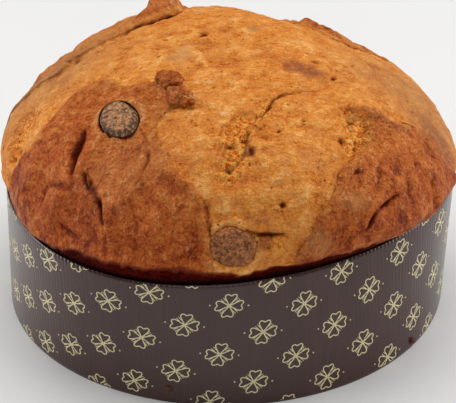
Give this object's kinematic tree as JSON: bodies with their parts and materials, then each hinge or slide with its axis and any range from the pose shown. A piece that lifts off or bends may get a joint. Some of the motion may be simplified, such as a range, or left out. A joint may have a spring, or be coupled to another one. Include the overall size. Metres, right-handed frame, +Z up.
{
  "type": "panettone in a paper baking case",
  "caption": "Low domed sweet loaf with a torn, flapped crust and baked-in fruit, standing in a printed paper baking case.",
  "frame": {"origin": "middle of the case's flat base, on the surface that it stands on", "axes": "+Z up through the dome, -Y towards the front that shows both pieces of fruit, +X to the right"},
  "size_m": [0.225, 0.223, 0.1342],
  "materials": {
    "crust": "satin",
    "paper": "satin",
    "paper_print": "satin",
    "fruit": "matte"
  },
  "bodies": {
    "root": {"bread": "crust", "paper_case": "paper", "fruit_upper_left": "fruit", "fruit_front": "fruit"}
  },
  "joints": []
}
